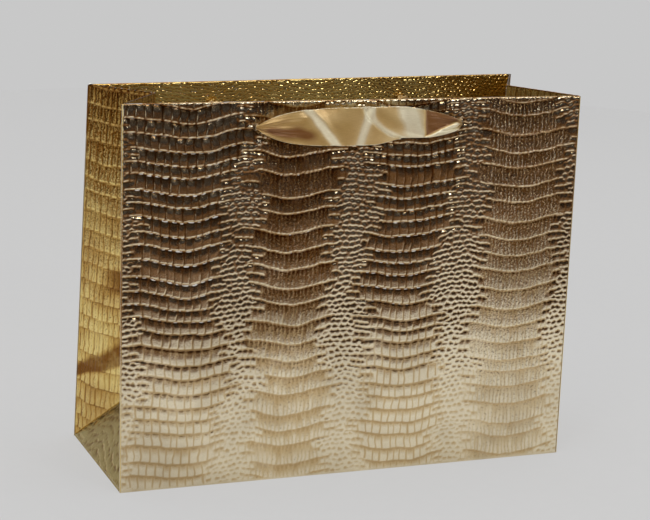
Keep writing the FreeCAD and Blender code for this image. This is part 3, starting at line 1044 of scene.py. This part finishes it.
bandLook = {
    -1: {"seed": 5, "curl": 1.0, "wave": 0.5, "folds": True, "bend": (0.3, 0.1),
         "streaks": ((-0.44, -0.14, 0.065, 1.3), (-0.03, 0.05, 0.05, 0.9), (0.44, -0.05, 0.12, 1.1))},
    1: {"seed": 47, "curl": 1.1, "wave": 0.5, "folds": False, "bend": (-0.2, 0.1),
        "streaks": ((-0.5, 0.12, 0.08, 1.2), (0.12, -0.1, 0.07, 1.2), (0.5, 0.08, 0.1, 1.0))},
}
bandThick = 0.3 * mm
bandReach = 0.985  # keeps the ends a little short of square
fullWidth = 320 * mm
bandEnd = 0.97  # share of the way to the hole where the band is fully gathered
wallGap = 0.35 * mm
swingGap = 0.9 * mm
foldLook = {"at": -0.06, "slant": 0.39, "bend": 1.7, "rise": 1.1, "drop": 1.2, "reach": 0.30}
crossLook = {"at": 0.60, "slant": 3.2, "level": 0.75, "rise": 1.5, "drop": 1.2, "contrast": 0.9}


# waves, streaks and the pleats of the gathered ends: height in mm, and sheen
# a runs from -1 to 1 between the holes, and w from -1 to 1 across the band
def bandRelief(look, a, w, wide):
    gather = smooth(0.5, bandEnd, abs(a))
    shape = -look["curl"] * w * w * (1 - gather)
    pleats = 0.75 * np.cos(w * 3 * math.pi + 0.6) + 0.3 * np.cos(w * 7 * math.pi)
    shape += gather * (0.7 + pleats * np.minimum(wide / (4 * mm), 1))
    waves = 0.8 * np.sin(9.0 * a + 2.4 * w + look["seed"]) + 0.5 * drift(a * 4, w * 1.5, look["seed"])
    shape += look["wave"] * (1 - gather) * waves
    sheen = 0.25 * np.exp(-((a - look["bend"][0] - look["bend"][1] * w) / 0.5) ** 2)
    for at, slant, broad, tall in look["streaks"]:
        near = (a - at - slant * w) / broad
        shape += tall * near * np.exp(0.5 - near * near) * (1 - gather)
        sheen += np.exp(-(near * 1.2) ** 2)
    return shape, sheen


# folds of the front band: one slants across its middle, one crosses near its right end
def foldBand(a, w, shape, sheen):
    past = a - (foldLook["at"] + foldLook["slant"] * ((1 - w) / 2) ** foldLook["bend"])
    before = (1 - smooth(-0.012, 0.012, past)) * smooth(-foldLook["reach"], 0.0, past)
    after = smooth(-0.01, 0.012, past) * (1 - smooth(0.0, foldLook["reach"], past))
    shape += foldLook["rise"] * before - foldLook["drop"] * after
    line = (w + crossLook["level"]) - (a - crossLook["at"]) * crossLook["slant"]
    over = smooth(-0.06, 0.06, line)
    window = smooth(0.54, 0.60, a) * (1 - smooth(0.88, bandEnd, a))
    shape += (crossLook["rise"] * (1 - over) - crossLook["drop"] * over) * window
    sheen = sheen * smooth(-0.12, 0.0, np.abs(past) - 0.02)
    sheen += 0.8 * np.exp(-((past - 0.05) / 0.05) ** 2)
    # painted shade of a fold: a dark wedge at the left end
    wedge = smooth(-0.97, -0.85, a) * (1 - smooth(-0.65, -0.40, a))
    sheen -= 0.75 * wedge * np.exp(-((w + 0.25 + 0.5 * (a + 0.9)) / 0.3) ** 2)
    sheen += window * crossLook["contrast"] * ((1 - over) - over)
    return shape, sheen


for side in (-1, 1):
    look = bandLook[side]
    node = f"{sideName[side]}_ribbon_handle"
    low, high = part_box(node)
    halfWidth = (high.z - low.z) / 2
    holeX = abs(holes[side][0][0])
    holeZ = holes[side][0][1]
    face = panelFace(side)
    a = np.sin(np.linspace(-math.pi / 2, math.pi / 2, 181) * bandReach) / math.sin(math.pi / 2 * bandReach)
    a = 0.35 * a + 0.65 * np.linspace(-1, 1, 181)
    w, a = np.meshgrid(np.linspace(-1, 1, 41), a)
    far = abs(a)
    wide = halfWidth * np.maximum((1 - np.minimum(far, 0.9995) ** 4) ** 0.68, 0.0)
    wide = np.maximum(wide, 1.5 * mm)
    share = a * holeX / fullWidth + 0.5
    wall = face(share, np.full(a.shape, holeZ))
    middleWall = face(np.array([0.5]), np.array([holeZ]))[0]
    bowDepth = (abs(low.y) if side < 0 else abs(high.y)) - abs(middleWall[1])
    bow = (bowDepth - bandThick) * (1 - np.minimum(far, 0.9999) ** 2.5) ** 0.54
    x = -side * a * holeX
    y = wall[..., 1] + side * (bow + 0.15 * mm)
    if look["folds"]:
        # its right third is narrower, mostly from below
        narrowed = np.where(w < 0, 0.30 * smooth(0.05, 0.35, a), 0.26 * smooth(0.3, 0.85, a))
        wide = wide * (1 - narrowed * np.abs(w))
    z = holeZ + w * wide + 1.5 * mm * (1 - far * far)
    points = np.stack([x, y, z], axis=-1)
    normals = gridNormals(points)
    if normals[90, 20, 1] * side < 0:
        normals = -normals
    shape, sheen = bandRelief(look, a, w, wide)
    if look["folds"]:
        shape, sheen = foldBand(a, w, shape, sheen)
    points = points + normals * (shape * mm)[..., None]
    # nothing of it may go into the wall behind
    clear = np.maximum(side * (wall[..., 1] + side * wallGap - points[..., 1]), 0)
    points[..., 1] += side * clear
    # nor when the handle swings up
    outward = side * (points[..., 1] - wall[..., 1])
    points[..., 1] += side * np.maximum(points[..., 2] - holeZ + swingGap - outward, 0)
    normals = gridNormals(points)
    if normals[90, 20, 1] * side < 0:
        points = points[:, ::-1]
        w = w[:, ::-1]
        sheen = sheen[:, ::-1]
        normals = gridNormals(points)
    uv = bandUv(a * holeX, w * halfWidth)
    sheen = np.clip(sheen + 0.15 * drift(a * 9, w * 2, look["seed"]), -0.6, 1.0) * 0.62 + 0.38
    patch = Patchwork()
    patch.grid(points, uv, sheen, 0 * a, 0, thick=bandThick, normals=normals)
    patch.grid((points - normals * bandThick)[:, ::-1], uv[:, ::-1], sheen[:, ::-1], 0 * a, 0)
    band = patch.build(f"{sideName[side]}_ribbon_band", [satin], welded=True)
    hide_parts(node)
    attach(band, f"{sideName[side]}_handle")
print("ribbons made")


# gathered ribbon swept along a path, with lengthwise pleats
def sweep(path, sizes, reference, closed, lobes=5):
    if closed:
        tangent = unit(np.roll(path, -1, axis=0) - np.roll(path, 1, axis=0))
    else:
        tangent = unit(np.gradient(path, axis=0))
    across = unit(np.cross(tangent, np.array(reference, float)))
    up = np.cross(across, tangent)
    turn = np.linspace(0, 2 * math.pi, 25)
    swell = 1 + 0.16 * np.cos(lobes * turn)
    offsets = (across[:, None] * (np.cos(turn) * swell)[None, :, None] * sizes[:, 0][:, None, None]
               + up[:, None] * (np.sin(turn) * swell)[None, :, None] * sizes[:, 1][:, None, None])
    points = path[:, None] + offsets
    if closed:
        points = np.concatenate([points, points[:1]])
    return points, turn


# UV map, lustre and strokes of a swept ribbon
def ropeLook(count, turn, long, lustre):
    uv = np.stack(np.broadcast_arrays(np.linspace(0, long, count)[:, None], turn[None] * 0.02), axis=-1)
    return uv, lustre[None] + 0 * uv[..., 0], 0 * uv[..., 0]


knotLook = {"loop": 1.0, "lift": 1.75, "band": (1.35, 0.95), "neck": 1.75}
knots = {-1: [], 1: []}
for side in (-1, 1):
    face = panelFace(side)
    for index, end in enumerate((-1, 1)):
        node = f"{sideName[side]}_{endName[end]}_knot"
        low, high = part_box(node)
        holeX, holeZ = holes[side][index]
        share = np.array([-side * holeX / fullWidth + 0.5])
        wallY = face(share, np.array([holeZ]))[0][1]
        inner = -side  # direction into the bag along y
        patch = Patchwork()
        ring = np.linspace(0, 2 * math.pi, 121)[:-1] + 0.7 * end
        loop = knotLook["loop"] * mm
        path = np.stack([loop * (np.sin(ring) + 2 * np.sin(2 * ring)),
                         inner * knotLook["lift"] * loop * -np.sin(3 * ring),
                         loop * (np.cos(ring) - 2 * np.cos(2 * ring))], axis=-1)
        centre = np.array([holeX, wallY + inner * 5.7 * mm, holeZ])
        sizes = np.stack([knotLook["band"][0] * mm * (1 + 0.12 * np.sin(2 * ring)),
                          knotLook["band"][1] * mm * (1 + 0.10 * np.cos(3 * ring))], axis=-1)
        points, turn = sweep(path + centre, sizes, (0, 1, 0), True)
        patch.grid(points, *ropeLook(len(points), turn, 0.5, 0.36 + 0.16 * np.cos(5 * turn)), 0)
        # neck through the hole
        reach = np.linspace(-0.6, 6.0, 18)
        neck = np.stack([holeX + 0 * reach, wallY + inner * reach * mm,
                         holeZ + 0.15 * mm * np.sin(reach)], axis=-1)
        radius = knotLook["neck"] * mm * (1 - 0.18 * np.exp(-((reach - 1.0) / 1.2) ** 2))
        points, turn = sweep(neck, np.stack([radius, radius], axis=-1), (1, 0, 0), False, lobes=7)
        patch.grid(points, *ropeLook(len(points), turn, 0.07, 0.3 + 0.2 * np.cos(7 * turn)), 0)
        # cut tail below the knot
        w, t = np.meshgrid(np.linspace(-1, 1, 17), np.linspace(0, 1, 33))
        tailTop = holeZ - 1.5 * mm
        tailLow = low.z + 0.3 * mm
        wide = (1.3 + 2.3 * smooth(0.0, 0.7, t)) * mm
        notch = 2.4 * mm * (1 - abs(w)) * smooth(0.8, 1.0, t)
        tail = np.stack([holeX + w * wide + 0.6 * mm * np.sin(3 * t) * end,
                         centre[1] + inner * (0.3 + 0.9 * np.sin(2.2 * t + end) - 0.5) * mm
                         + inner * 0.45 * mm * np.cos(w * 5 + 2 * t) * (1 - 0.4 * t),
                         tailTop + (tailLow - tailTop) * t + notch], axis=-1)
        normals = gridNormals(tail)
        uv = np.stack([t * 0.17, w * 0.03], axis=-1)
        lustre = 0.4 + 0.15 * np.sin(w * 5 + 2 * t)
        patch.grid(tail, uv, lustre, lustre * 0, 0, thick=bandThick, normals=normals)
        patch.grid((tail - normals * bandThick)[:, ::-1], uv[:, ::-1], lustre, lustre * 0, 0)
        knot = patch.build(f"{sideName[side]}_{endName[end]}_tied_knot", [satin])
        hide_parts(node)
        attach(knot, f"{sideName[side]}_wall")
        knots[side].append(knot)
print("knots made")


# stage: pale floor, soft light

# one flat face of the stage
def stagePlate(name, points, material, seen=False):
    mesh = bpy.data.meshes.new(name)
    mesh.from_pydata(points, [], [tuple(range(len(points)))])
    mesh.materials.append(material)
    plate = bpy.data.objects.new(name, mesh)
    bpy.context.scene.collection.objects.link(plate)
    plate.visible_camera = seen
    return plate


floorSize = {"x": 0.25, "y": 0.60, "radius": 1.10}
turn = np.linspace(0, 2 * math.pi, 97)[:-1]
ringPoints = [(floorSize["x"] + floorSize["radius"] * math.cos(t),
               floorSize["y"] + floorSize["radius"] * math.sin(t), 0.0) for t in turn]
pale = floorMaterial()
floor = stagePlate("floor", ringPoints, pale, seen=True)
floor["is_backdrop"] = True

# dark ground round the pale floor; only reflections show it
groundLook = {"low": (0.08, 0.028, 0.004), "high": (0.38, 0.18, 0.04), "radius": 1.95,
              "dimFrom": 0.95, "dimTo": 1.5}
material, tree, shader = newMaterial("darkGround")
clouds = useGroup(tree, wear, coordinates(tree, "Object"), Scale=2.4, Start=0.36, End=0.66)
away = tree.nodes.new("ShaderNodeVectorMath")
away.operation = "LENGTH"
tree.links.new(coordinates(tree, "Object"), away.inputs[0])
dim = tree.nodes.new("ShaderNodeMapRange")
dim.inputs["From Min"].default_value = groundLook["dimFrom"]
dim.inputs["From Max"].default_value = groundLook["dimTo"]
dim.inputs["To Max"].default_value = 0.75
tree.links.new(away.outputs["Value"], dim.inputs["Value"])
clouds = addMath(tree, "SUBTRACT", clouds, dim.outputs["Result"])
soil = ramp(tree, clouds, [(0.0, groundLook["low"]), (1.0, groundLook["high"])])
tree.links.new(soil, shader.inputs["Base Color"])
tree.links.new(spread(tree, clouds, 0.8, 0.95), shader.inputs["Roughness"])
shader.inputs["Specular IOR Level"].default_value = 0.1
ringPoints = [(groundLook["radius"] * math.cos(t), groundLook["radius"] * math.sin(t), -0.02) for t in turn]
ground = stagePlate("ground", ringPoints, material)
ground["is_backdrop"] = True

# pale wall far behind the bag, which only reflections show
corners = [(-2.2, 2.2, -0.01), (2.4, 2.2, -0.01), (2.4, 2.2, 1.7), (-2.2, 2.2, 1.7)]
backdrop = stagePlate("backdrop", corners, pale)
backdrop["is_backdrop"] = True

# the camera sees an even pale grey; everything else is lit by a near black brown
world = bpy.data.worlds.new("studio")
world.use_nodes = True
bpy.context.scene.world = world
tree = world.node_tree
tree.nodes.clear()
output = tree.nodes.new("ShaderNodeOutputWorld")
path = tree.nodes.new("ShaderNodeLightPath")
seen = tree.nodes.new("ShaderNodeBackground")
seen.inputs["Color"].default_value = (0.578, 0.578, 0.578, 1)
ambient = tree.nodes.new("ShaderNodeBackground")
ambient.inputs["Color"].default_value = (0.012, 0.005, 0.0015, 1)
mixed = tree.nodes.new("ShaderNodeMixShader")
tree.links.new(path.outputs["Is Camera Ray"], mixed.inputs[0])
tree.links.new(ambient.outputs[0], mixed.inputs[1])
tree.links.new(seen.outputs[0], mixed.inputs[2])
tree.links.new(mixed.outputs[0], output.inputs["Surface"])


def softLight(name, place, target, size, power, color=(1, 1, 1)):
    data = bpy.data.lights.new(name, "AREA")
    data.shape = "RECTANGLE"
    data.size = size[0]
    data.size_y = size[1]
    data.energy = power
    data.color = color
    lamp = bpy.data.objects.new(name, data)
    lamp.location = place
    lamp.rotation_mode = "QUATERNION"
    lamp.rotation_quaternion = (Vector(target) - Vector(place)).to_track_quat("-Z", "Y")
    bpy.context.scene.collection.objects.link(lamp)
    return lamp


softLight("overhead", (0.1, 0.1, 2.3), (0.1, 0.1, 0), (3.2, 3.2), 62)
softLight("frontRight", (0.62, -1.55, 0.92), (0, 0, 0.15), (0.5, 0.26), 5, (0.98, 0.97, 1.0))
softLight("frontLeft", (-1.1, -1.2, 1.1), (0, 0, 0.15), (0.6, 0.4), 6, (1.0, 0.98, 0.96))


# pale cards at both sides, which only reflections show
cardLook = {"left": (-85, -14), "right": (54, 120)}  # degrees round the bag
cardSize = {"away": 1.9, "low": -0.1, "high": 0.75, "glow": 0.8}
for cardName, angles in cardLook.items():
    material, tree, shader = newMaterial(f"{cardName}Card")
    shade = useGroup(tree, grain, coordinates(tree, "Object"), Coarse=2.0, Fine=40.0)
    shader.inputs["Base Color"].default_value = (0.05, 0.05, 0.05, 1)
    tree.links.new(ramp(tree, shade, [(0.3, (0.86, 0.84, 0.80)), (0.7, (1.0, 0.98, 0.95))]),
                   shader.inputs["Emission Color"])
    shader.inputs["Emission Strength"].default_value = cardSize["glow"]
    corners = []
    for angle, height in zip((*angles, *angles[::-1]), ("low", "low", "high", "high")):
        x = cardSize["away"] * math.sin(math.radians(angle))
        y = -cardSize["away"] * math.cos(math.radians(angle))
        corners.append((x, y, cardSize[height]))
    card = stagePlate(f"{cardName}Card", corners, material)
    card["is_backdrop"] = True

# camera
cameraLook = {"azimuth": -21.28458, "elevation": 13.1253, "roll": 2.06383, "distance": 1.37695,
              "lens": 109.54, "target": (0.00253, 0.0, 0.13415)}
azimuth = math.radians(cameraLook["azimuth"])
elevation = math.radians(cameraLook["elevation"])
roll = math.radians(cameraLook["roll"])
back = Vector((math.sin(azimuth) * math.cos(elevation), -math.cos(azimuth) * math.cos(elevation),
               math.sin(elevation)))
right = (-back).cross(Vector((0, 0, 1))).normalized()
up = right.cross(-back)
tiltedRight = right * math.cos(roll) + up * math.sin(roll)
tiltedUp = up * math.cos(roll) - right * math.sin(roll)
cameraData = bpy.data.cameras.new("camera")
cameraData.lens = cameraLook["lens"]
cameraData.sensor_width = 36.0
cameraData.clip_start = 0.01
cameraData.clip_end = 20.0
camera = bpy.data.objects.new("camera", cameraData)
bpy.context.scene.collection.objects.link(camera)
turned = Matrix((tiltedRight, tiltedUp, back)).transposed().to_4x4()
turned.translation = Vector(cameraLook["target"]) + back * cameraLook["distance"]
camera.matrix_world = turned
bpy.context.scene.camera = camera
bpy.context.scene.view_settings.view_transform = "Standard"

bpy.context.view_layer.update()
low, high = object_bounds()
